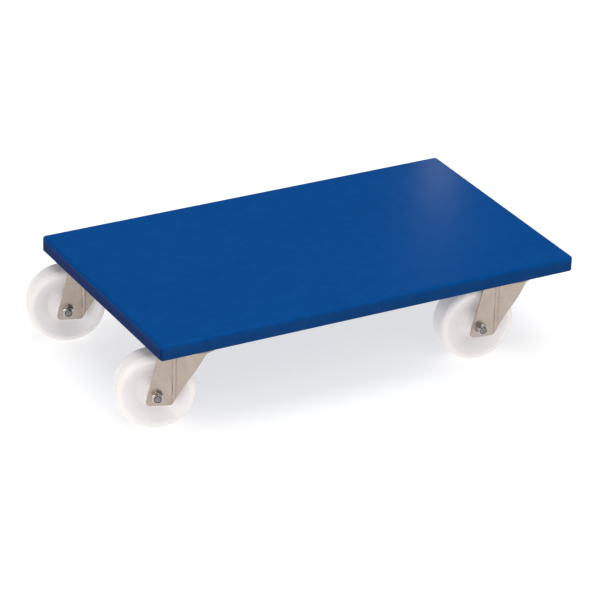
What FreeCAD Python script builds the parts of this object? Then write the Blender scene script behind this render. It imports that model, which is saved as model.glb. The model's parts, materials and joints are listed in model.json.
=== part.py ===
import FreeCAD, Part

import math
import os

# Platform trolley: a flat board carried by four swivel castors with one-piece wheels.
#
# Frame, in millimetres: the origin is the centre of the board's top face, +Z is up, +X runs along
# the long side of the board and -Y is its front. The castors trail towards -X, each one turned a
# little by its own angle, as castors stand after the trolley has been rolled along.

# ---------------------------------------------------------------- board
board_length = 580.0
board_width = 340.0
board_thickness = 20.0
board_corner_radius = 4.5
board_top_edge_radius = 4.0
board_bottom_edge_radius = 1.0

# ---------------------------------------------------------------- castor positions
castor_inset_end = 66.5          # from the board's end to the swivel axis
castor_inset_side = 42.0         # from the board's long side to the swivel axis
castor_trail = 48.7              # from the swivel axis back to the axle
castors = [
    # name, side along X, side along Y, angle about Z at rest in degrees
    ("front_left", -1, -1, -19.7),
    ("back_left", -1, 1, -18.3),
    ("front_right", 1, -1, -7.2),
    ("back_right", 1, 1, -12.0),
]

# ---------------------------------------------------------------- wheel
wheel_radius = 50.0
wheel_width = 34.0
wheel_shoulder_radius = 7.0
wheel_rim_depth = 8.5            # rim, from the tread in to the dished face
wheel_rim_edge_radius = 4.5
wheel_web_thickness = 15.0
wheel_web_radius = 24.0          # where the dished face meets the flat web
wheel_web_blend_radius = 8.0
wheel_hub_wall = 3.0             # at the end of the hub
wheel_hub_draft = 1.5            # how much wider the hub is at the web than at its end
wheel_hub_blend_radius = 6.0
wheel_hub_end_radius = 1.0
wheel_hub_length = 43.4
hub_side_gap = 0.8               # from the end of the hub to the fork leg, each side

# ---------------------------------------------------------------- roller bearing in the hub
axle_tube_wall = 1.9
roller_radius = 1.75
roller_count = 9
roller_length = 30.0
roller_running_gap = 0.05        # roller to tube and roller to hub, measured on the radius
cage_wall = 2.2
cage_length = 36.0
cage_pocket_gap = 0.1

# ---------------------------------------------------------------- axle bolt and nut
axle_bolt_radius = 4.0
axle_bolt_head_flats = 13.0
axle_bolt_head_height = 5.3
axle_bolt_end_past_nut = 0.6
axle_nut_flats = 13.0
axle_nut_hex_height = 6.3
axle_nut_collar_wall = 1.6
axle_nut_collar_height = 2.2
axle_hole_gap = 0.1
thread_fit_gap = 0.02            # a screwed, riveted or pressed joint, measured on the radius

# ---------------------------------------------------------------- fork, pressed from one sheet
fork_sheet = 2.5
fork_head_flare = 3.0            # how far the round head stands out past the legs on each side
fork_neck_blend_radius = 8.0     # hollow curve where the round head runs into the flat legs
fork_crown_edge_radius = 3.5
fork_skirt_depth = 4.0           # front skirt of the head, measured down from the crown
fork_skirt_front_x = 10.7        # where the slanted front edge of the legs meets that skirt
fork_skirt_blend_radius = 6.0
leg_below_axle = 13.0
leg_rear_from_axle = 14.5        # at the lower end of the leg
leg_front_from_axle = 17.5       # at the lower end of the leg
leg_rear_lean = 17.5             # how far the rear edge moves forward on its way up
leg_rear_corner_radius = 5.0
leg_front_corner_radius = 4.0
bead_width = 5.0                 # stiffening bead pressed outward, one on each leg
bead_height = 1.4
bead_from_axle = 20.5
bead_below_crown = 4.0
kingpin_hole_gap = 0.5

# ---------------------------------------------------------------- swivel head
plate_length = 95.0
plate_width = 67.0
plate_thickness = 3.5
plate_corner_radius = 8.0
plate_hole_pitch_x = 75.0
plate_hole_pitch_y = 45.0
plate_slot_length = 9.5
race_ball_radius = 2.5
race_gap = 3.0                   # plate to crown, and crown to lower race
race_clearance = 0.05
race_ball_spacing = 0.6
upper_race_radius = 19.5
lower_race_radius = 14.5
lower_race_thickness = 3.0
lower_race_rim_wall = 2.0
lower_race_rim_gap = 1.0         # from the top of the rim to the underside of the crown
lower_race_edge_radius = 1.0
seal_ball_gap = 0.4              # from the balls out to the seal
seal_wall = 1.6
seal_lip_gap = 0.3
wheel_top_gap = 7.0              # from the underside of the crown to the top of the wheel

# ---------------------------------------------------------------- kingpin
kingpin_radius = 5.0
kingpin_head_radius = 9.0
kingpin_head_height = 2.0
kingpin_nut_flats = 17.0
kingpin_nut_height = 6.0
kingpin_end_past_nut = 1.0
thread_end_chamfer = 0.6

# ---------------------------------------------------------------- screws that hold the plates
screw_radius = 3.0
screw_length = 16.0
screw_tip_length = 4.0
screw_tip_radius = 0.8
screw_slot_gap = 0.3
screw_head_radius = 5.5
screw_head_height = 2.2
screw_head_edge_radius = 1.4
recess_width = 1.3
recess_length = 5.6
recess_depth = 1.2
pilot_extra_depth = 1.0

# ---------------------------------------------------------------- heights, worked out
# One castor is drawn with its swivel axis on Z and the underside of the board at z = 0.
plate_bottom = -plate_thickness
crown_top = plate_bottom - race_gap
crown_bottom = crown_top - fork_sheet
lower_race_top = crown_bottom - race_gap
lower_race_bottom = lower_race_top - lower_race_thickness
upper_ball_z = 0.5 * (plate_bottom + crown_top)
lower_ball_z = 0.5 * (crown_bottom + lower_race_top)
axle_z = crown_bottom - wheel_top_gap - wheel_radius
axle_x = -castor_trail

leg_inner_y = 0.5 * wheel_hub_length + hub_side_gap
leg_outer_y = leg_inner_y + fork_sheet
fork_head_radius = leg_outer_y + fork_head_flare
groove_radius = race_ball_radius + race_clearance
axle_hole_radius = axle_bolt_radius + axle_hole_gap
axle_tube_radius = axle_hole_radius + axle_tube_wall
hub_bore_radius = axle_tube_radius + 2.0 * (roller_running_gap + roller_radius)
roller_pitch_radius = 0.5 * (axle_tube_radius + hub_bore_radius)
bead_outer_radius = (0.25 * bead_width ** 2 + bead_height ** 2) / (2.0 * bead_height)
overlap = 1.0                    # how far a cutting shape runs past what it cuts

X = FreeCAD.Vector(1, 0, 0)
Y = FreeCAD.Vector(0, 1, 0)
Z = FreeCAD.Vector(0, 0, 1)
ORIGIN = FreeCAD.Vector(0, 0, 0)


# ================================================================ general shapes
def cylinder_z(radius, z_low, z_high, x=0.0, y=0.0):
    return Part.makeCylinder(radius, z_high - z_low, FreeCAD.Vector(x, y, z_low), Z)


def cylinder_y(radius, y_low, y_high, x=0.0, z=0.0):
    return Part.makeCylinder(radius, y_high - y_low, FreeCAD.Vector(x, y_low, z), Y)


def ring_z(outer, inner, z_low, z_high):
    return cylinder_z(outer, z_low, z_high).cut(cylinder_z(inner, z_low - overlap, z_high + overlap))


def box(x_low, x_high, y_low, y_high, z_low, z_high):
    corner = FreeCAD.Vector(x_low, y_low, z_low)
    return Part.makeBox(x_high - x_low, y_high - y_low, z_high - z_low, corner)


def hexagon_prism(flats, start, direction, height):
    """A hexagonal prism on start, with two of its corners up and down or fore and aft."""
    corner_radius = flats / math.sqrt(3.0)
    side = X if abs(direction.dot(Z)) > 0.5 else Z
    other = direction.cross(side)
    points = []
    for k in range(7):
        angle = math.radians(60.0 * k)
        points.append(start + side * (corner_radius * math.cos(angle))
                      + other * (corner_radius * math.sin(angle)))
    return Part.Face(Part.makePolygon(points)).extrude(direction * height)


def chamfered_hexagon(flats, start, direction, height):
    """A hexagon whose far corners are turned down by a 30 degree cone, as on a nut."""
    prism = hexagon_prism(flats, start, direction, height)
    corner_radius = flats / math.sqrt(3.0)
    cone_radius = 0.5 * flats * 0.98
    rise = (corner_radius - cone_radius) * math.tan(math.radians(30.0))
    body = Part.makeCylinder(corner_radius + overlap, height - rise, start, direction)
    crown = Part.makeCone(corner_radius, cone_radius, rise, start + direction * (height - rise), direction)
    return prism.common(body.fuse(crown)).removeSplitter()


def rounded_wire(points, radii):
    """A closed wire through the points, each corner rounded by an arc of its own radius."""
    count = len(points)
    starts = []
    ends = []
    middles = []
    for k in range(count):
        here = points[k]
        to_last = (points[k - 1] - here).normalize()
        to_next = (points[(k + 1) % count] - here).normalize()
        half_angle = 0.5 * to_last.getAngle(to_next)
        reach = radii[k] / math.tan(half_angle)
        starts.append(here + to_last * reach)
        ends.append(here + to_next * reach)
        bisector = (to_last + to_next).normalize()
        centre_distance = radii[k] / math.sin(half_angle)
        middles.append(here + bisector * (centre_distance - radii[k]))
    edges = []
    for k in range(count):
        if radii[k] > 0.0:
            edges.append(Part.Arc(starts[k], middles[k], ends[k]).toShape())
        edges.append(Part.makeLine(ends[k], starts[(k + 1) % count]))
    return Part.Wire(edges)


def edges_at_height(shape, z):
    """The edges of a shape that lie wholly in the level plane at z."""
    found = []
    for edge in shape.Edges:
        bounds = edge.BoundBox
        if abs(bounds.ZMin - z) < 1e-6 and abs(bounds.ZMax - z) < 1e-6:
            found.append(edge)
    return found


def rounded_block(length, width, z_low, z_high, corner_radius):
    points = [
        FreeCAD.Vector(-0.5 * length, -0.5 * width, z_low),
        FreeCAD.Vector(0.5 * length, -0.5 * width, z_low),
        FreeCAD.Vector(0.5 * length, 0.5 * width, z_low),
        FreeCAD.Vector(-0.5 * length, 0.5 * width, z_low),
    ]
    wire = rounded_wire(points, [corner_radius] * 4)
    return Part.Face(wire).extrude(Z * (z_high - z_low))


def ball_ring(race_radius, z):
    spacing = 2.0 * race_ball_radius + race_ball_spacing
    count = int(2.0 * math.pi * race_radius / spacing)
    balls = []
    for k in range(count):
        angle = 2.0 * math.pi * k / count
        centre = FreeCAD.Vector(race_radius * math.cos(angle), race_radius * math.sin(angle), z)
        balls.append(Part.makeSphere(race_ball_radius, centre))
    return Part.makeCompound(balls)


def race_groove(race_radius, z):
    return Part.makeTorus(race_radius, groove_radius, FreeCAD.Vector(0, 0, z), Z)


# ================================================================ pieces fixed under the board
def plate_hole_places():
    places = []
    for side_x in (-1, 1):
        for side_y in (-1, 1):
            places.append((side_x * 0.5 * plate_hole_pitch_x, side_y * 0.5 * plate_hole_pitch_y))
    return places


def slot(x, y, z_low, z_high):
    """A slotted hole, lengthwise along X, centred on x, y."""
    radius = screw_radius + screw_slot_gap
    half_run = 0.5 * plate_slot_length - radius
    ends = cylinder_z(radius, z_low, z_high, x - half_run, y)
    ends = ends.fuse(cylinder_z(radius, z_low, z_high, x + half_run, y))
    return ends.fuse(box(x - half_run, x + half_run, y - radius, y + radius, z_low, z_high))


def mounting_plate():
    plate = rounded_block(plate_length, plate_width, plate_bottom, 0.0, plate_corner_radius)
    plate = plate.cut(cylinder_z(kingpin_radius + thread_fit_gap, plate_bottom - overlap, overlap))
    head_seat = cylinder_z(kingpin_head_radius + thread_fit_gap, -kingpin_head_height, overlap)
    plate = plate.cut(head_seat)
    plate = plate.cut(race_groove(upper_race_radius, upper_ball_z))
    for x, y in plate_hole_places():
        plate = plate.cut(slot(x, y, plate_bottom - overlap, overlap))
    return plate


def plate_screw(x, y):
    """One pan-head screw, driven upward through the plate into the board."""
    head = cylinder_z(screw_head_radius, plate_bottom - screw_head_height, plate_bottom)
    head = head.makeFillet(screw_head_edge_radius, edges_at_height(head, plate_bottom - screw_head_height))
    shank_top = plate_bottom + screw_length - screw_tip_length
    shank = cylinder_z(screw_radius, plate_bottom, shank_top)
    tip = Part.makeCone(screw_radius, screw_tip_radius, screw_tip_length, FreeCAD.Vector(0, 0, shank_top), Z)
    screw = head.fuse(shank).fuse(tip)
    head_bottom = plate_bottom - screw_head_height
    half_long = 0.5 * recess_length
    half_wide = 0.5 * recess_width
    recess_low = head_bottom - overlap
    recess_high = head_bottom + recess_depth
    recess = box(-half_long, half_long, -half_wide, half_wide, recess_low, recess_high)
    recess = recess.fuse(box(-half_wide, half_wide, -half_long, half_long, recess_low, recess_high))
    screw = screw.cut(recess)
    screw.translate(FreeCAD.Vector(x, y, 0))
    return screw


def plate_screws():
    return Part.makeCompound([plate_screw(x, y) for x, y in plate_hole_places()])


def kingpin():
    """Flat-headed pin that hangs from the plate and carries the lower race."""
    end_z = lower_race_bottom - kingpin_nut_height - kingpin_end_past_nut
    shank = cylinder_z(kingpin_radius, end_z, -kingpin_head_height)
    shank = shank.makeChamfer(thread_end_chamfer, edges_at_height(shank, end_z))
    return shank.fuse(cylinder_z(kingpin_head_radius, -kingpin_head_height, 0.0)).removeSplitter()


def lower_race():
    """Dished washer with the groove of the lower ball ring and an upturned rim."""
    rim_inner = lower_race_radius + race_ball_radius + race_ball_spacing
    rim_outer = rim_inner + lower_race_rim_wall
    rim_top = crown_bottom - lower_race_rim_gap
    race = cylinder_z(rim_outer, lower_race_bottom, rim_top)
    race = race.makeFillet(lower_race_edge_radius, edges_at_height(race, lower_race_bottom))
    race = race.cut(cylinder_z(rim_inner, lower_race_top, rim_top + overlap))
    race = race.cut(race_groove(lower_race_radius, lower_ball_z))
    bore = kingpin_radius + thread_fit_gap
    return race.cut(cylinder_z(bore, lower_race_bottom - overlap, rim_top + overlap))


def kingpin_nut():
    start = FreeCAD.Vector(0, 0, lower_race_bottom)
    nut = chamfered_hexagon(kingpin_nut_flats, start, -Z, kingpin_nut_height)
    bore = kingpin_radius + thread_fit_gap
    nut_bottom = lower_race_bottom - kingpin_nut_height
    return nut.cut(cylinder_z(bore, nut_bottom - overlap, lower_race_bottom + overlap))


# ================================================================ pieces that swivel
def fork_plan(half_width, head_radius, neck_radius, rear_x):
    """Level outline of the fork: two flat sides that run into a round head about the swivel axis."""
    neck_y = half_width + neck_radius
    neck_x = -math.sqrt((head_radius + neck_radius) ** 2 - neck_y ** 2)
    share = head_radius / (head_radius + neck_radius)
    join_x = neck_x * share
    join_y = neck_y * share
    to_middle = (FreeCAD.Vector(neck_x, half_width, 0) + FreeCAD.Vector(join_x, join_y, 0)) * 0.5
    neck_centre = FreeCAD.Vector(neck_x, neck_y, 0)
    middle = neck_centre + (to_middle - neck_centre).normalize() * neck_radius
    edges = [
        Part.makeLine(FreeCAD.Vector(rear_x, -half_width, 0), FreeCAD.Vector(rear_x, half_width, 0)),
        Part.makeLine(FreeCAD.Vector(rear_x, half_width, 0), FreeCAD.Vector(neck_x, half_width, 0)),
        Part.Arc(FreeCAD.Vector(neck_x, half_width, 0), middle, FreeCAD.Vector(join_x, join_y, 0)).toShape(),
        Part.Arc(FreeCAD.Vector(join_x, join_y, 0), FreeCAD.Vector(head_radius, 0, 0),
                 FreeCAD.Vector(join_x, -join_y, 0)).toShape(),
        Part.Arc(FreeCAD.Vector(join_x, -join_y, 0), FreeCAD.Vector(middle.x, -middle.y, 0),
                 FreeCAD.Vector(neck_x, -half_width, 0)).toShape(),
        Part.makeLine(FreeCAD.Vector(neck_x, -half_width, 0), FreeCAD.Vector(rear_x, -half_width, 0)),
    ]
    return Part.Wire(edges)


def fork_block(half_width, head_radius, neck_radius, rear_x, z_low, z_high, edge_radius):
    block = Part.Face(fork_plan(half_width, head_radius, neck_radius, rear_x)).extrude(Z * (z_high - z_low))
    block.translate(FreeCAD.Vector(0, 0, z_low))
    return block.makeFillet(edge_radius, edges_at_height(block, z_high))


def bead(radius, side, z_low, z_high):
    """Upright round-ended bar whose proud part makes the bead on one leg."""
    centre_x = axle_x + bead_from_axle
    centre_y = side * (leg_outer_y + bead_height - bead_outer_radius)
    bar = cylinder_z(radius, z_low, z_high, centre_x, centre_y)
    return bar.fuse(Part.makeSphere(radius, FreeCAD.Vector(centre_x, centre_y, z_high)))


def fork_side_prism(half_width):
    """What is left of the pressing seen from the side: slanted legs below a round head."""
    leg_bottom = axle_z - leg_below_axle
    skirt_bottom = crown_top - fork_skirt_depth
    head_front = fork_head_radius + 2.0 * overlap
    points = [
        FreeCAD.Vector(axle_x - leg_rear_from_axle, -half_width, leg_bottom),
        FreeCAD.Vector(axle_x + leg_front_from_axle, -half_width, leg_bottom),
        FreeCAD.Vector(fork_skirt_front_x, -half_width, skirt_bottom),
        FreeCAD.Vector(head_front, -half_width, skirt_bottom),
        FreeCAD.Vector(head_front, -half_width, crown_top + overlap),
        FreeCAD.Vector(axle_x - leg_rear_from_axle + leg_rear_lean, -half_width, crown_top + overlap),
    ]
    radii = [leg_rear_corner_radius, leg_front_corner_radius, fork_skirt_blend_radius, 0.0, 0.0, 0.0]
    return Part.Face(rounded_wire(points, radii)).extrude(Y * (2.0 * half_width))


def fork():
    leg_bottom = axle_z - leg_below_axle
    low = leg_bottom - overlap
    rear = axle_x - leg_rear_from_axle - 5.0 * overlap
    outer = fork_block(leg_outer_y, fork_head_radius, fork_neck_blend_radius, rear,
                       low, crown_top, fork_crown_edge_radius)
    inner = fork_block(leg_inner_y, fork_head_radius - fork_sheet, fork_neck_blend_radius + fork_sheet,
                       rear - 5.0 * overlap, low - overlap, crown_bottom, fork_crown_edge_radius - fork_sheet)
    bead_top = crown_top - bead_below_crown
    for side in (-1, 1):
        outer = outer.fuse(bead(bead_outer_radius, side, low, bead_top))
        inner = inner.fuse(bead(bead_outer_radius - fork_sheet, side, low - overlap, bead_top))
    body = outer.cut(inner).common(fork_side_prism(fork_head_radius + 2.0 * overlap))
    reach = leg_outer_y + overlap
    body = body.cut(cylinder_y(axle_hole_radius, -reach, reach, axle_x, axle_z))
    pin_hole_radius = kingpin_radius + kingpin_hole_gap
    body = body.cut(cylinder_z(pin_hole_radius, crown_bottom - overlap, crown_top + overlap))
    body = body.cut(race_groove(upper_race_radius, upper_ball_z))
    body = body.cut(race_groove(lower_race_radius, lower_ball_z))
    return body.removeSplitter()


def swivel_seal():
    """Plastic ring on the crown that keeps dirt out of the upper ball ring."""
    inner = upper_race_radius + race_ball_radius + seal_ball_gap
    return ring_z(inner + seal_wall, inner, crown_top, plate_bottom - seal_lip_gap)


def axle_bolt():
    """Hexagon bolt through both legs, its head at the back."""
    end_y = -(leg_outer_y + axle_nut_hex_height + axle_nut_collar_height + axle_bolt_end_past_nut)
    shank = cylinder_y(axle_bolt_radius, end_y, leg_outer_y, axle_x, axle_z)
    end_edges = [edge for edge in shank.Edges if edge.BoundBox.YMax < end_y + 1e-6]
    shank = shank.makeChamfer(thread_end_chamfer, end_edges)
    head_start = FreeCAD.Vector(axle_x, leg_outer_y, axle_z)
    head = chamfered_hexagon(axle_bolt_head_flats, head_start, Y, axle_bolt_head_height)
    return shank.fuse(head).removeSplitter()


def axle_nut():
    """Lock nut: a hexagon with a round collar for the locking ring."""
    start = FreeCAD.Vector(axle_x, -leg_outer_y, axle_z)
    hexagon = chamfered_hexagon(axle_nut_flats, start, -Y, axle_nut_hex_height)
    collar_face = -(leg_outer_y + axle_nut_hex_height + axle_nut_collar_height)
    collar_radius = axle_bolt_radius + axle_nut_collar_wall
    collar_root = -leg_outer_y - 0.5 * axle_nut_hex_height
    collar = cylinder_y(collar_radius, collar_face, collar_root, axle_x, axle_z)
    end_edges = [edge for edge in collar.Edges if edge.BoundBox.YMax < collar_face + 1e-6]
    collar = collar.makeFillet(0.5 * axle_nut_collar_height, end_edges)
    nut = hexagon.fuse(collar)
    bore = axle_bolt_radius + thread_fit_gap
    return nut.cut(cylinder_y(bore, collar_face - overlap, -leg_outer_y + overlap, axle_x, axle_z))


def axle_tube():
    """Hard sleeve clamped between the legs; the rollers run on it."""
    tube = cylinder_y(axle_tube_radius, -leg_inner_y, leg_inner_y, axle_x, axle_z)
    reach = leg_inner_y + overlap
    return tube.cut(cylinder_y(axle_hole_radius, -reach, reach, axle_x, axle_z))


# ================================================================ pieces that roll
def wheel():
    """One-piece wheel: tread, rounded shoulders, dished faces and a long hub."""
    half_hub = 0.5 * wheel_hub_length
    half_web = 0.5 * wheel_web_thickness
    half_rim = 0.5 * wheel_width
    rim_inner = wheel_radius - wheel_rim_depth
    hub_radius = hub_bore_radius + wheel_hub_wall
    side = [
        (hub_bore_radius, half_hub, 0.0),
        (hub_radius, half_hub, wheel_hub_end_radius),
        (hub_radius + wheel_hub_draft, half_web, wheel_hub_blend_radius),
        (wheel_web_radius, half_web, wheel_web_blend_radius),
        (rim_inner, half_rim, wheel_rim_edge_radius),
        (wheel_radius, half_rim, wheel_shoulder_radius),
    ]
    outline = side + [(radius, -y, corner) for radius, y, corner in reversed(side)]
    points = [FreeCAD.Vector(radius, y, 0) for radius, y, corner in outline]
    radii = [corner for radius, y, corner in outline]
    solid = Part.Face(rounded_wire(points, radii)).revolve(ORIGIN, Y, 360)
    solid.translate(FreeCAD.Vector(axle_x, 0, axle_z))
    return solid


def roller_bearing():
    """Plastic cage and its loose rollers, as one group of separate solids."""
    half_cage = 0.5 * cage_length
    half_roller = 0.5 * roller_length
    outer = roller_pitch_radius + 0.5 * cage_wall
    inner = roller_pitch_radius - 0.5 * cage_wall
    cage = cylinder_y(outer, -half_cage, half_cage)
    cage = cage.cut(cylinder_y(inner, -half_cage - overlap, half_cage + overlap))
    rollers = []
    pocket_half = half_roller + cage_pocket_gap
    for k in range(roller_count):
        angle = 2.0 * math.pi * k / roller_count
        x = roller_pitch_radius * math.cos(angle)
        z = roller_pitch_radius * math.sin(angle)
        cage = cage.cut(cylinder_y(roller_radius + cage_pocket_gap, -pocket_half, pocket_half, x, z))
        rollers.append(cylinder_y(roller_radius, -half_roller, half_roller, x, z))
    group = Part.makeCompound([cage] + rollers)
    group.translate(FreeCAD.Vector(axle_x, 0, axle_z))
    return group


# ================================================================ board
def castor_place(side_x, side_y):
    x = side_x * (0.5 * board_length - castor_inset_end)
    y = side_y * (0.5 * board_width - castor_inset_side)
    return FreeCAD.Vector(x, y, -board_thickness)


def pilot_hole(x, y):
    """Blind hole in the underside of the board for one screw, with a drill point."""
    radius = screw_radius + thread_fit_gap
    full_depth = screw_length - plate_thickness - screw_tip_length + pilot_extra_depth
    hole = cylinder_z(radius, -overlap, full_depth, x, y)
    point = Part.makeCone(radius, screw_tip_radius, screw_tip_length, FreeCAD.Vector(x, y, full_depth), Z)
    return hole.fuse(point)


def board():
    slab = rounded_block(board_length, board_width, -board_thickness, 0.0, board_corner_radius)
    slab = slab.makeFillet(board_top_edge_radius, edges_at_height(slab, 0.0))
    slab = slab.makeFillet(board_bottom_edge_radius, edges_at_height(slab, -board_thickness))
    holes = []
    for name, side_x, side_y, angle in castors:
        for x, y in plate_hole_places():
            hole = pilot_hole(x, y)
            hole.translate(castor_place(side_x, side_y))
            holes.append(hole)
    return slab.cut(holes)


# ================================================================ assembly
def write(node, shape):
    shape.exportStep("parts/" + node + ".step")


def write_castor(name, side_x, side_y, angle, fixed, turning):
    place = castor_place(side_x, side_y)
    for piece, shape in fixed.items():
        copy = shape.copy()
        copy.translate(place)
        write(name + "_" + piece, copy)
    for piece, shape in turning.items():
        copy = shape.copy()
        copy.rotate(ORIGIN, Z, angle)
        copy.translate(place)
        write(name + "_" + piece, copy)


os.makedirs("parts", exist_ok=True)

fixed_pieces = {
    "mounting_plate": mounting_plate(),
    "plate_screws": plate_screws(),
    "kingpin": kingpin(),
    "kingpin_nut": kingpin_nut(),
    "lower_race": lower_race(),
}
turning_pieces = {
    "upper_balls": ball_ring(upper_race_radius, upper_ball_z),
    "lower_balls": ball_ring(lower_race_radius, lower_ball_z),
    "fork": fork(),
    "swivel_seal": swivel_seal(),
    "axle_bolt": axle_bolt(),
    "axle_nut": axle_nut(),
    "axle_tube": axle_tube(),
    "wheel": wheel(),
    "roller_bearing": roller_bearing(),
}

write("board", board())
for castor in castors:
    write_castor(*castor, fixed_pieces, turning_pieces)
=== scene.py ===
import json
import math

import bmesh
import bpy
from mathutils import Matrix, Vector


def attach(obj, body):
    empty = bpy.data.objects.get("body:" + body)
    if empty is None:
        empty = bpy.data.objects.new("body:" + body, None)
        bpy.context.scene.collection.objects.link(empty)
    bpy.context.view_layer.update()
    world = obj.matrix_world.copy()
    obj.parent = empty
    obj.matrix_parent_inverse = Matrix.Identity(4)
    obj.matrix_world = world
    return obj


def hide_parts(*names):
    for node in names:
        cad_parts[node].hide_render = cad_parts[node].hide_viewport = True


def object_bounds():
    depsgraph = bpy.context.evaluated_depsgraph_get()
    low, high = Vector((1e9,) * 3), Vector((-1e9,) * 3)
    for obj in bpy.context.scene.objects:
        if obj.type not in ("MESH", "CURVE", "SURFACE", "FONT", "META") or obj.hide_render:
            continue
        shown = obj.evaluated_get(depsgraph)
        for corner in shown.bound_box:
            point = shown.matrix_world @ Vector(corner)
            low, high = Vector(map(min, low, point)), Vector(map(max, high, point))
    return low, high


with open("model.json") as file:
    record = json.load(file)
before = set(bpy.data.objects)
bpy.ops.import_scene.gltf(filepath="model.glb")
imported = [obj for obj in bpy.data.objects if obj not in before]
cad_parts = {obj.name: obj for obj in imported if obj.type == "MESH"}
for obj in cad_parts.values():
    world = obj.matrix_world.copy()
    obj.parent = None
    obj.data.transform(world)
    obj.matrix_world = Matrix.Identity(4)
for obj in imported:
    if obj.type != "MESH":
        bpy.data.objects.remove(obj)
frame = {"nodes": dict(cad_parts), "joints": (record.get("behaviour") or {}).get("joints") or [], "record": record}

# Platform trolley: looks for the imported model. Metres throughout, in the model's own frame:
# origin at the centre of the board's top face, +Z up, -Y the front.
cad_low, cad_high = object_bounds()

MM = 0.001
CASTORS = ("front_left", "back_left", "front_right", "back_right")
JOINTS = {joint["name"]: joint for joint in frame["joints"]}
NODES = frame["nodes"]

# ---------------------------------------------------------------- wheel sizes
WHEEL_RADIUS = 50.0 * MM
WHEEL_HALF_WIDTH = 17.0 * MM
WHEEL_SHOULDER = 7.0 * MM
RIM_INNER_RADIUS = 41.5 * MM         # from here the face slopes in to the web
RIM_EDGE = 4.5 * MM
WEB_HALF_THICKNESS = 7.5 * MM
WEB_RADIUS = 24.0 * MM
WEB_BLEND = 8.0 * MM
HUB_HALF_LENGTH = 21.7 * MM
HUB_BORE = 9.6 * MM
HUB_BORE_EDGE = 0.4 * MM
HUB_END_RADIUS = 12.6 * MM
HUB_END_EDGE = 1.0 * MM
HUB_ROOT_RADIUS = 14.1 * MM
HUB_BLEND = 6.0 * MM
WHEEL_SEGMENTS = 128

# ---------------------------------------------------------------- axle bolt and lock nut sizes
LEG_OUTER = 25.0 * MM                # from the middle of the castor to the outside of each leg
HEX_FLATS = 13.0 * MM
HEX_CONE_RADIUS = 6.37 * MM          # where the 30 degree corner cone meets the end face
HEAD_HEIGHT = 5.3 * MM
HEAD_DISH_DEPTH = 0.25 * MM
HEAD_DISH_FLOOR = 2.6 * MM
HEAD_DISH_RIM = 3.0 * MM
NUT_HEX_HEIGHT = 6.3 * MM
NUT_BORE_GAP = 0.03 * MM
COLLAR_RADIUS = 5.6 * MM
COLLAR_LIP_RADIUS = 4.9 * MM
COLLAR_HEIGHT = 2.2 * MM
COLLAR_ROLL_STEPS = 4
BOLT_RADIUS = 4.0 * MM
BOLT_END_PAST_NUT = 0.6 * MM
BOLT_END = LEG_OUTER + NUT_HEX_HEIGHT + COLLAR_HEIGHT + BOLT_END_PAST_NUT
BOLT_DISH_DEPTH = 0.3 * MM
BOLT_DISH_FLOOR = 1.5 * MM
BOLT_DISH_RIM = 1.9 * MM
THREAD_ROOT = 3.5 * MM
THREAD_PITCH = 1.25 * MM
THREAD_TURNS = 2
INSERT_FACE = 1.4 * MM               # face of the locking ring, past the hexagon
INSERT_ROOT = 0.5 * MM
INSERT_BOLT_GAP = 0.05 * MM
INSERT_NUT_GAP = 0.02 * MM

# ---------------------------------------------------------------- edges broken on sheet metal
FORK_EDGE_BREAK = 0.35 * MM
PLATE_EDGE_BREAK = 0.3 * MM

# ---------------------------------------------------------------- studio
FLOOR_Z = cad_low.z - 0.0002
FLOOR_HALF = 12.0
FLOOR_GREY = 0.45
FLOOR_GLOW = 0.66
WORLD_STRENGTH = 0.75
KEY_POWER = 17.0
OVERHEAD_POWER = 52.0
FILL_POWER = 10.5
SHEEN_POWER = 0.14

CAMERA_AZIMUTH = math.radians(-29.39)
CAMERA_ELEVATION = math.radians(26.55)
CAMERA_ROLL = math.radians(1.84)
CAMERA_DISTANCE = 4.162
CAMERA_SIDE_STEP = 0.0093
CAMERA_UP_STEP = -0.0685
CAMERA_LENS = 197.7
CAMERA_SENSOR = 36.0


# ================================================================ material helpers
def new_material(name):
    """A node material with a Principled shader; returns the material, its tree and the shader."""
    material = bpy.data.materials.new(name)
    material.use_nodes = True
    tree = material.node_tree
    shader = tree.nodes["Principled BSDF"]
    return material, tree, shader


def add(tree, kind, **settings):
    node = tree.nodes.new(kind)
    for key, value in settings.items():
        setattr(node, key, value)
    return node


def object_coordinates(tree, scale=(1.0, 1.0, 1.0)):
    """Object coordinates in metres, stretched by a scale."""
    source = add(tree, "ShaderNodeTexCoord")
    mapping = add(tree, "ShaderNodeMapping")
    mapping.inputs["Scale"].default_value = scale
    tree.links.new(source.outputs["Object"], mapping.inputs["Vector"])
    return mapping.outputs["Vector"]


def noise(tree, vector, scale, detail=3.0, roughness=0.5, distortion=0.0):
    node = add(tree, "ShaderNodeTexNoise")
    node.inputs["Scale"].default_value = scale
    node.inputs["Detail"].default_value = detail
    node.inputs["Roughness"].default_value = roughness
    node.inputs["Distortion"].default_value = distortion
    tree.links.new(vector, node.inputs["Vector"])
    return node.outputs["Fac"]


def ramp(tree, value, stops):
    """A colour ramp through (position, colour) stops."""
    node = add(tree, "ShaderNodeValToRGB")
    elements = node.color_ramp.elements
    while len(elements) < len(stops):
        elements.new(0.5)
    for element, (position, colour) in zip(elements, stops):
        element.position = position
        element.color = (*colour, 1.0)
    tree.links.new(value, node.inputs["Fac"])
    return node.outputs["Color"]


def spread(tree, value, low, high, source_low=0.3, source_high=0.7):
    """Maps a texture value between source_low and source_high to the range low..high."""
    node = add(tree, "ShaderNodeMapRange")
    node.inputs["From Min"].default_value = source_low
    node.inputs["From Max"].default_value = source_high
    node.inputs["To Min"].default_value = low
    node.inputs["To Max"].default_value = high
    tree.links.new(value, node.inputs["Value"])
    return node.outputs["Result"]


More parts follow.
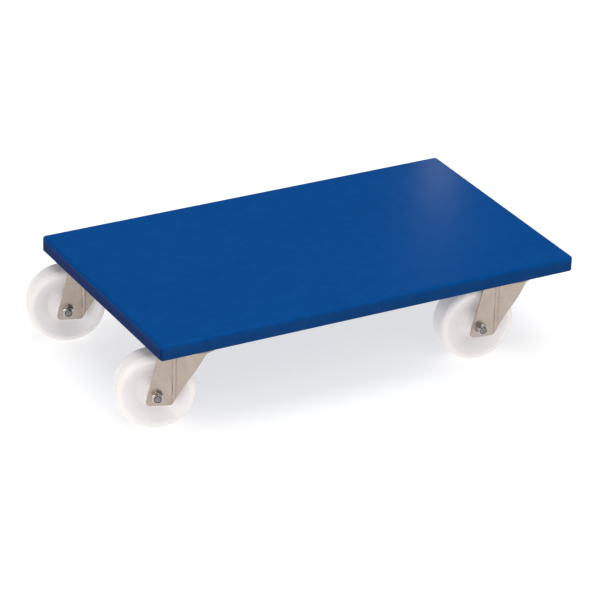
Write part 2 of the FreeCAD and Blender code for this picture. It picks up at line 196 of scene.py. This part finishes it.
def mix_colours(tree, factor, first, second, blend="MIX"):
    """Mixes two colours, each a socket or a tuple, by a factor that is a socket or a number."""
    node = add(tree, "ShaderNodeMix", data_type="RGBA", blend_type=blend)
    sockets = [socket for socket in node.inputs if socket.enabled]
    for socket, value in zip(sockets, (factor, first, second)):
        if isinstance(value, bpy.types.NodeSocket):
            tree.links.new(value, socket)
        elif isinstance(value, tuple):
            socket.default_value = (*value, 1.0)
        else:
            socket.default_value = value
    return [socket for socket in node.outputs if socket.enabled][0]


def tint(tree, colour, by):
    """A colour multiplied by another."""
    return mix_colours(tree, 1.0, colour, by, "MULTIPLY")


def bump(tree, height, strength, distance, normal=None):
    node = add(tree, "ShaderNodeBump")
    node.inputs["Strength"].default_value = strength
    node.inputs["Distance"].default_value = distance
    tree.links.new(height, node.inputs["Height"])
    if normal is not None:
        tree.links.new(normal, node.inputs["Normal"])
    return node.outputs["Normal"]


def creases(tree, reach):
    """1 on open surfaces, falling towards 0 in corners and along the foot of a bead; used to paint shade there."""
    node = add(tree, "ShaderNodeAmbientOcclusion", samples=8, only_local=True)
    node.inputs["Distance"].default_value = reach
    return node.outputs["AO"]


def facing(tree, axis):
    """How far the surface faces along one world axis, from -1 to 1."""
    geometry = add(tree, "ShaderNodeNewGeometry")
    dot = add(tree, "ShaderNodeVectorMath", operation="DOT_PRODUCT")
    tree.links.new(geometry.outputs["Normal"], dot.inputs[0])
    dot.inputs[1].default_value = axis
    return dot.outputs["Value"]


# ================================================================ materials
def board_side_shade(tree, base):
    """The board's blue darkened on its sides as painted shade: one tone on the long ones, one on the ends."""
    long_side_shade = tint(tree, base, (3.1, 0.78, 0.70))
    end_side_shade = tint(tree, base, (1.5, 0.34, 0.46))
    end_share = add(tree, "ShaderNodeMath", operation="ABSOLUTE")
    tree.links.new(facing(tree, (1.0, 0.0, 0.0)), end_share.inputs[0])
    return mix_colours(tree, end_share.outputs["Value"], long_side_shade, end_side_shade)


def blue_board_material():
    """Blue lacquer over fibreboard: a fine pebble and soft mottling, with painted shade on the sides."""
    material, tree, shader = new_material("blue_lacquer")
    place = object_coordinates(tree)
    mottle = noise(tree, place, 55.0, 4.0, 0.6)
    cloud = noise(tree, place, 6.0, 3.0, 0.5)
    fine = noise(tree, place, 900.0, 2.0, 0.6)
    base = ramp(tree, mottle, [(0.30, (0.0012, 0.0545, 0.220)), (0.70, (0.0022, 0.0610, 0.243))])
    shade = ramp(tree, cloud, [(0.35, (0.96, 0.97, 0.98)), (0.65, (1.04, 1.02, 1.02))])
    base = tint(tree, base, shade)
    # Painted shade: below the top, the sides take darker copies of the board's blue.
    side = board_side_shade(tree, base)
    height = add(tree, "ShaderNodeSeparateXYZ")
    tree.links.new(place, height.inputs["Vector"])
    top_share = spread(tree, height.outputs["Z"], 0.0, 1.0, -8.5 * MM, -0.5 * MM)
    tree.links.new(mix_colours(tree, top_share, side, base), shader.inputs["Base Color"])
    tree.links.new(spread(tree, fine, 0.20, 0.27), shader.inputs["Roughness"])
    pebble = noise(tree, place, 420.0, 2.0, 0.5)
    tree.links.new(bump(tree, pebble, 0.12, 0.3 * MM), shader.inputs["Normal"])
    shader.inputs["Specular IOR Level"].default_value = 0.01
    return material


def stainless_sheet_material():
    """Satin stainless sheet: warm grey, tumbled rather than mirror bright, with faint rolling lines and painted
    shade in its creases.
    """
    material, tree, shader = new_material("satin_stainless")
    place = object_coordinates(tree)
    lines = noise(tree, object_coordinates(tree, (1.0, 1.0, 14.0)), 190.0, 3.0, 0.6)
    cloud = noise(tree, place, 60.0, 4.0, 0.6)
    speck = noise(tree, place, 1400.0, 2.0, 0.5)
    base = ramp(tree, cloud, [(0.30, (0.400, 0.332, 0.280)), (0.70, (0.462, 0.394, 0.343))])
    # Painted shade: the steel is darkened in its corners and along the foot of the bead.
    painted_crease_shade = ramp(tree, creases(tree, 3.0 * MM), [(0.60, (0.62, 0.58, 0.54)), (0.97, (1.0, 1.0, 1.0))])
    tree.links.new(tint(tree, base, painted_crease_shade), shader.inputs["Base Color"])
    shader.inputs["Metallic"].default_value = 1.0
    tree.links.new(spread(tree, lines, 0.24, 0.36), shader.inputs["Roughness"])
    normal = bump(tree, speck, 0.25, 0.1 * MM)
    normal = bump(tree, lines, 0.12, 0.1 * MM, normal)
    tree.links.new(normal, shader.inputs["Normal"])
    return material


def fastener_steel_material(name, dark, light, smooth, rough):
    """Fastener steel with light turning marks, between two tones and two roughnesses."""
    material, tree, shader = new_material(name)
    place = object_coordinates(tree)
    cloud = noise(tree, place, 220.0, 3.0, 0.6)
    fine = noise(tree, place, 1800.0, 2.0, 0.5)
    tree.links.new(ramp(tree, cloud, [(0.30, dark), (0.70, light)]), shader.inputs["Base Color"])
    shader.inputs["Metallic"].default_value = 1.0
    tree.links.new(spread(tree, cloud, smooth, rough), shader.inputs["Roughness"])
    tree.links.new(bump(tree, fine, 0.12, 0.08 * MM), shader.inputs["Normal"])
    return material


def bright_steel_material():
    """Nuts, screws and kingpins."""
    return fastener_steel_material("bright_steel", (0.43, 0.405, 0.385), (0.56, 0.535, 0.51), 0.10, 0.18)


def bolt_steel_material():
    """The duller steel of the axle bolts."""
    return fastener_steel_material("bolt_steel", (0.17, 0.155, 0.145), (0.30, 0.275, 0.26), 0.16, 0.28)


def ball_steel_material():
    """Polished hardened balls with a trace of grease."""
    material, tree, shader = new_material("ball_steel")
    film = noise(tree, object_coordinates(tree), 300.0, 3.0, 0.5)
    base = ramp(tree, film, [(0.35, (0.70, 0.69, 0.66)), (0.65, (0.82, 0.82, 0.82))])
    tree.links.new(base, shader.inputs["Base Color"])
    shader.inputs["Metallic"].default_value = 1.0
    tree.links.new(spread(tree, film, 0.06, 0.20), shader.inputs["Roughness"])
    return material


def nylon_colour_and_hub_shade(tree):
    """Milky white, with painted shade: darker and greyer towards the hub; from_axle is the share of the wheel's
    radius.
    """
    reach = add(tree, "ShaderNodeAttribute", attribute_name="from_axle")
    return ramp(tree, reach.outputs["Fac"], [
        (0.28, (0.710, 0.665, 0.658)),
        (0.50, (0.735, 0.696, 0.690)),
        (0.79, (0.768, 0.732, 0.730)),
        (0.84, (0.782, 0.742, 0.722)),
        (1.00, (0.784, 0.740, 0.714)),
    ])


def white_nylon_material():
    """Milky cast nylon: faintly see-through and waxy, with soft flow marks and a faint painted glow."""
    material, tree, shader = new_material("white_nylon")
    place = object_coordinates(tree)
    cloud = noise(tree, place, 24.0, 3.0, 0.5)
    flow = noise(tree, place, 90.0, 4.0, 0.6, 0.6)
    fine = noise(tree, place, 1100.0, 2.0, 0.5)
    shade = ramp(tree, cloud, [(0.30, (0.965, 0.965, 0.970)), (0.70, (1.0, 1.0, 1.0))])
    # The nylon's colour, with painted shade darkening the dished face towards the hub.
    base = tint(tree, nylon_colour_and_hub_shade(tree), shade)
    tree.links.new(base, shader.inputs["Base Color"])
    # Painted light: the nylon glows faintly by its own emission, in its own colour.
    tree.links.new(base, shader.inputs["Emission Color"])
    shader.inputs["Emission Strength"].default_value = 0.16
    tree.links.new(spread(tree, flow, 0.26, 0.36), shader.inputs["Roughness"])
    shader.inputs["Subsurface Weight"].default_value = 0.35
    shader.inputs["Subsurface Radius"].default_value = (1.0, 0.8, 0.7)
    shader.inputs["Subsurface Scale"].default_value = 4.0 * MM
    shader.inputs["IOR"].default_value = 1.53
    normal = bump(tree, flow, 0.10, 0.3 * MM)
    normal = bump(tree, fine, 0.15, 0.05 * MM, normal)
    tree.links.new(normal, shader.inputs["Normal"])
    return material


def grey_plastic_material():
    """Dark grey moulded plastic of the seals, roller cages and locking rings."""
    material, tree, shader = new_material("grey_plastic")
    place = object_coordinates(tree)
    cloud = noise(tree, place, 120.0, 3.0, 0.5)
    fine = noise(tree, place, 1500.0, 2.0, 0.5)
    base = ramp(tree, cloud, [(0.30, (0.045, 0.046, 0.050)), (0.70, (0.070, 0.071, 0.076))])
    tree.links.new(base, shader.inputs["Base Color"])
    tree.links.new(spread(tree, cloud, 0.42, 0.58), shader.inputs["Roughness"])
    tree.links.new(bump(tree, fine, 0.2, 0.1 * MM), shader.inputs["Normal"])
    return material


MATERIALS = {
    "blue_board": blue_board_material(),
    "stainless_sheet": stainless_sheet_material(),
    "bright_steel": bright_steel_material(),
    "bolt_steel": bolt_steel_material(),
    "ball_steel": ball_steel_material(),
    "white_nylon": white_nylon_material(),
    "grey_plastic": grey_plastic_material(),
}


def finish_like(piece, slot_name, look=None):
    """Gives a piece the material of its slot, or another look in the same slot."""
    piece.data.materials.clear()
    piece.data.materials.append(MATERIALS[look or slot_name])


# ================================================================ turned pieces
def rounded_profile(corners, steps=6):
    """Points of a closed outline (radius, side) whose corners are rounded: (radius, side, corner)."""
    points = []
    count = len(corners)
    for k, (r, s, corner) in enumerate(corners):
        here = Vector((r, s))
        if corner <= 0.0:
            points.append(here)
            continue
        last = Vector(corners[k - 1][:2])
        following = Vector(corners[(k + 1) % count][:2])
        to_last = (last - here).normalized()
        to_next = (following - here).normalized()
        half_angle = 0.5 * to_last.angle(to_next)
        centre = here + (to_last + to_next).normalized() * (corner / math.sin(half_angle))
        reach = corner / math.tan(half_angle)
        start = here + to_last * reach - centre
        end = here + to_next * reach - centre
        turn = start.angle_signed(end)
        for step in range(steps + 1):
            angle = -turn * step / steps
            points.append(centre + Matrix.Rotation(angle, 2) @ start)
    return points


def lathe_rings(mesh, outline_at, centre, axis, segments):
    """One ring of vertices per angle, each with its share of the wheel's radius stored on it."""
    side = axis.normalized()
    up = Vector((0, 0, 1)) - side * side.z
    up.normalize()
    across = side.cross(up)
    reach = mesh.verts.layers.float.new("from_axle")
    rings = []
    for k in range(segments):
        angle = 2.0 * math.pi * k / segments
        outward = up * math.cos(angle) + across * math.sin(angle)
        ring = []
        for r, s in outline_at(angle):
            vertex = mesh.verts.new(centre + outward * r + side * s)
            vertex[reach] = r / WHEEL_RADIUS
            ring.append(vertex)
        rings.append(ring)
    return rings


def turned(name, outline_at, centre, axis, segments=96):
    """A solid of which outline_at(angle) gives the closed outline of (radius, side) at each angle."""
    mesh = bmesh.new()
    rings = lathe_rings(mesh, outline_at, centre, axis, segments)
    count = len(rings[0])
    for k in range(segments):
        here = rings[k]
        following = rings[(k + 1) % segments]
        for j in range(count):
            mesh.faces.new((here[j], here[(j + 1) % count], following[(j + 1) % count], following[j]))
    bmesh.ops.remove_doubles(mesh, verts=mesh.verts, dist=1e-7)
    bmesh.ops.recalc_face_normals(mesh, faces=mesh.faces)
    for face in mesh.faces:
        face.smooth = True
    data = bpy.data.meshes.new(name)
    mesh.to_mesh(data)
    mesh.free()
    data.set_sharp_from_angle(angle=math.radians(28.0))
    piece = bpy.data.objects.new(name, data)
    bpy.context.scene.collection.objects.link(piece)
    return piece


def hexagon_radius(flats, angle):
    """Distance from the middle to the rim of a hexagon with a corner at angle zero."""
    return 0.5 * flats / math.cos(angle % math.radians(60.0) - math.radians(30.0))


# ================================================================ wheels
def wheel_outline():
    """Outline of the one-piece wheel, from the bore round one face, the tread and the other face."""
    face = [
        (HUB_BORE, HUB_HALF_LENGTH, HUB_BORE_EDGE),
        (HUB_END_RADIUS, HUB_HALF_LENGTH, HUB_END_EDGE),
        (HUB_ROOT_RADIUS, WEB_HALF_THICKNESS, HUB_BLEND),
        (WEB_RADIUS, WEB_HALF_THICKNESS, WEB_BLEND),
        (RIM_INNER_RADIUS, WHEEL_HALF_WIDTH, RIM_EDGE),
        (WHEEL_RADIUS, WHEEL_HALF_WIDTH, WHEEL_SHOULDER),
    ]
    crown = [(WHEEL_RADIUS, 0.0, 0.0)]
    other = [(r, -s, corner) for r, s, corner in reversed(face)]
    return rounded_profile(face + crown + other)


def make_wheel(castor):
    spin = JOINTS[castor + "_wheel_spin"]
    outline = wheel_outline()
    wheel = turned(castor + "_wheel_moulding", lambda angle: outline, Vector(spin["pos_m"]),
                   Vector(spin["axis"]), WHEEL_SEGMENTS)
    finish_like(wheel, "white_nylon")
    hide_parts(castor + "_wheel")
    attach(wheel, castor + "_rolling_wheel")


# ================================================================ axle bolts and lock nuts
def corner_drop(rim):
    """How much the corner cone takes off the height of a hexagon at this distance from its middle."""
    return max(0.0, rim - HEX_CONE_RADIUS) * math.tan(math.radians(30.0))


def thread_points(thread_end):
    """Crests and roots of the last turns of thread, shown as rings."""
    points = []
    for turn in range(THREAD_TURNS):
        crest = thread_end - (THREAD_TURNS - turn) * THREAD_PITCH
        points.append((BOLT_RADIUS, crest))
        points.append((BOLT_RADIUS, crest + 0.15 * THREAD_PITCH))
        points.append((THREAD_ROOT, crest + 0.55 * THREAD_PITCH))
    return points


def bolt_outline(angle):
    """Hexagon head, shank, threaded end with its chamfer, and a shallow dish in both ends."""
    rim = hexagon_radius(HEX_FLATS, angle)
    head_face = -LEG_OUTER - HEAD_HEIGHT
    head = [
        (0.0, head_face + HEAD_DISH_DEPTH),
        (HEAD_DISH_FLOOR, head_face + HEAD_DISH_DEPTH),
        (HEAD_DISH_RIM, head_face),
        (HEX_CONE_RADIUS, head_face),
        (rim, head_face + corner_drop(rim)),
        (rim, -LEG_OUTER),
        (BOLT_RADIUS, -LEG_OUTER),
    ]
    thread_end = BOLT_END - (BOLT_RADIUS - THREAD_ROOT)
    tip = [
        (BOLT_RADIUS, thread_end),
        (THREAD_ROOT, BOLT_END),
        (BOLT_DISH_RIM, BOLT_END),
        (BOLT_DISH_FLOOR, BOLT_END - BOLT_DISH_DEPTH),
        (0.0, BOLT_END - BOLT_DISH_DEPTH),
    ]
    return head + thread_points(thread_end) + tip


def collar_points():
    """The rolled outer edge of the lock nut's collar, from its outside over to its lip."""
    points = []
    roll = COLLAR_RADIUS - COLLAR_LIP_RADIUS
    for step in range(COLLAR_ROLL_STEPS + 1):
        turn = math.radians(90.0 / COLLAR_ROLL_STEPS * step)
        rise = COLLAR_HEIGHT - roll * (1.0 - math.sin(turn))
        points.append((COLLAR_LIP_RADIUS + roll * math.cos(turn), NUT_HEX_HEIGHT + rise))
    return points


def nut_outline(angle):
    rim = hexagon_radius(HEX_FLATS, angle)
    bore = BOLT_RADIUS + NUT_BORE_GAP
    hexagon = [
        (bore, 0.0),
        (rim, 0.0),
        (rim, NUT_HEX_HEIGHT - corner_drop(rim)),
        (HEX_CONE_RADIUS, NUT_HEX_HEIGHT),
        (COLLAR_RADIUS, NUT_HEX_HEIGHT),
    ]
    seat = [
        (COLLAR_LIP_RADIUS, NUT_HEX_HEIGHT + INSERT_ROOT),
        (bore, NUT_HEX_HEIGHT + INSERT_ROOT),
    ]
    return [(radius, LEG_OUTER + side) for radius, side in hexagon + collar_points() + seat]


def insert_outline(angle):
    """The locking ring is round, so its outline is the same at every angle."""
    inner = BOLT_RADIUS + INSERT_BOLT_GAP
    outer = COLLAR_LIP_RADIUS - INSERT_NUT_GAP
    low = LEG_OUTER + NUT_HEX_HEIGHT + INSERT_ROOT + INSERT_NUT_GAP
    high = LEG_OUTER + NUT_HEX_HEIGHT + INSERT_FACE
    return [(inner, low), (outer, low), (outer, high), (inner, high)]


def make_axle_fasteners(castor):
    spin = JOINTS[castor + "_wheel_spin"]
    centre = Vector(spin["pos_m"])
    outward = -Vector(spin["axis"])
    bolt = turned(castor + "_axle_bolt_threaded", bolt_outline, centre, outward)
    nut = turned(castor + "_lock_nut", nut_outline, centre, outward)
    insert = turned(castor + "_lock_nut_insert", insert_outline, centre, outward)
    finish_like(bolt, "bright_steel", "bolt_steel")
    finish_like(nut, "bright_steel")
    finish_like(insert, "grey_plastic")
    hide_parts(castor + "_axle_bolt")
    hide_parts(castor + "_axle_nut")
    for piece in (bolt, nut, insert):
        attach(piece, castor + "_swivel")


# ================================================================ pressed edges
def soften(node, width):
    """Breaks the sharp edges of a pressed or cut piece."""
    modifier = node.modifiers.new("edge_break", "BEVEL")
    modifier.width = width
    modifier.segments = 2
    modifier.limit_method = "ANGLE"
    modifier.angle_limit = math.radians(50.0)


# ================================================================ floor, light and camera
def floor_material():
    """Pale from above; from below it lets light and sight through."""
    material, tree, shader = new_material("floor_pale")
    shader.inputs["Base Color"].default_value = (FLOOR_GREY, FLOOR_GREY, FLOOR_GREY, 1.0)
    shader.inputs["Roughness"].default_value = 0.9
    shader.inputs["Specular IOR Level"].default_value = 0.1
    shader.inputs["Emission Color"].default_value = (1.0, 1.0, 1.0, 1.0)
    shader.inputs["Emission Strength"].default_value = FLOOR_GLOW
    clear = add(tree, "ShaderNodeBsdfTransparent")
    geometry = add(tree, "ShaderNodeNewGeometry")
    choose = add(tree, "ShaderNodeMixShader")
    tree.links.new(geometry.outputs["Backfacing"], choose.inputs["Fac"])
    tree.links.new(shader.outputs["BSDF"], choose.inputs[1])
    tree.links.new(clear.outputs["BSDF"], choose.inputs[2])
    tree.links.new(choose.outputs["Shader"], tree.nodes["Material Output"].inputs["Surface"])
    return material


def make_floor():
    mesh = bpy.data.meshes.new("floor")
    corners = [(-1, -1), (1, -1), (1, 1), (-1, 1)]
    mesh.from_pydata([(x * FLOOR_HALF, y * FLOOR_HALF, FLOOR_Z) for x, y in corners], [], [(0, 1, 2, 3)])
    floor = bpy.data.objects.new("floor", mesh)
    bpy.context.scene.collection.objects.link(floor)
    mesh.materials.append(floor_material())


def area_light(name, place, target, width, height, power):
    data = bpy.data.lights.new(name, "AREA")
    data.shape = "RECTANGLE"
    data.size = width
    data.size_y = height
    data.energy = power
    light = bpy.data.objects.new(name, data)
    light.location = place
    light.rotation_euler = (Vector(target) - Vector(place)).to_track_quat("-Z", "Y").to_euler()
    bpy.context.scene.collection.objects.link(light)
    return light


def make_sky():
    """A studio surround that is bright overhead and dimmer below that."""
    world = bpy.data.worlds.new("studio")
    bpy.context.scene.world = world
    world.use_nodes = True
    tree = world.node_tree
    source = add(tree, "ShaderNodeTexCoord")
    parts = add(tree, "ShaderNodeSeparateXYZ")
    tree.links.new(source.outputs["Generated"], parts.inputs["Vector"])
    sky = ramp(tree, parts.outputs["Z"], [
        (0.0, (0.62, 0.62, 0.63)),
        (0.35, (0.42, 0.42, 0.43)),
        (0.60, (0.18, 0.18, 0.19)),
        (0.80, (0.55, 0.55, 0.56)),
        (0.95, (1.0, 1.0, 1.0)),
    ])
    background = tree.nodes["Background"]
    tree.links.new(sky, background.inputs["Color"])
    background.inputs["Strength"].default_value = WORLD_STRENGTH


def make_lights():
    """Large soft lights, and a small one that gives the sheen on the board's far corner."""
    area_light("key", (0.5, -2.2, 1.7), (0, 0, -0.05), 2.2, 1.6, KEY_POWER)
    area_light("left_fill", (-2.0, -1.15, 0.30), (0, -0.1, -0.06), 1.4, 0.8, FILL_POWER)
    area_light("overhead", (0.0, -0.2, 2.6), (0, 0, 0), 2.6, 2.2, OVERHEAD_POWER)
    sheen = area_light("back_sheen", (0.620, 0.690, 0.290), (0.29, 0.17, 0.0), 0.05, 0.05, SHEEN_POWER)
    sheen.visible_camera = False


def make_camera():
    """The camera stands 29 degrees round to the left of the front and looks 27 degrees down."""
    back = Vector((math.sin(CAMERA_AZIMUTH) * math.cos(CAMERA_ELEVATION),
                   -math.cos(CAMERA_AZIMUTH) * math.cos(CAMERA_ELEVATION),
                   math.sin(CAMERA_ELEVATION)))
    level_right = (-back).cross(Vector((0, 0, 1))).normalized()
    level_up = level_right.cross(-back)
    right = level_right * math.cos(CAMERA_ROLL) + level_up * math.sin(CAMERA_ROLL)
    up = level_up * math.cos(CAMERA_ROLL) - level_right * math.sin(CAMERA_ROLL)
    data = bpy.data.cameras.new("camera")
    data.sensor_width = CAMERA_SENSOR
    data.lens = CAMERA_LENS
    camera = bpy.data.objects.new("camera", data)
    turn = Matrix((right, up, back)).transposed().to_4x4()
    place = back * CAMERA_DISTANCE - right * CAMERA_SIDE_STEP + up * CAMERA_UP_STEP
    camera.matrix_world = Matrix.Translation(place) @ turn
    bpy.context.scene.collection.objects.link(camera)
    bpy.context.scene.camera = camera


# ================================================================ making
for subpart in frame["record"]["subparts"]:
    finish_like(NODES[subpart["node"]], subpart["material_slot"])

for castor in CASTORS:
    make_wheel(castor)

for castor in CASTORS:
    make_axle_fasteners(castor)

for castor in CASTORS:
    soften(NODES[castor + "_fork"], FORK_EDGE_BREAK)
    soften(NODES[castor + "_mounting_plate"], PLATE_EDGE_BREAK)

make_floor()
make_sky()
make_lights()
make_camera()
bpy.context.scene.view_settings.view_transform = "Standard"
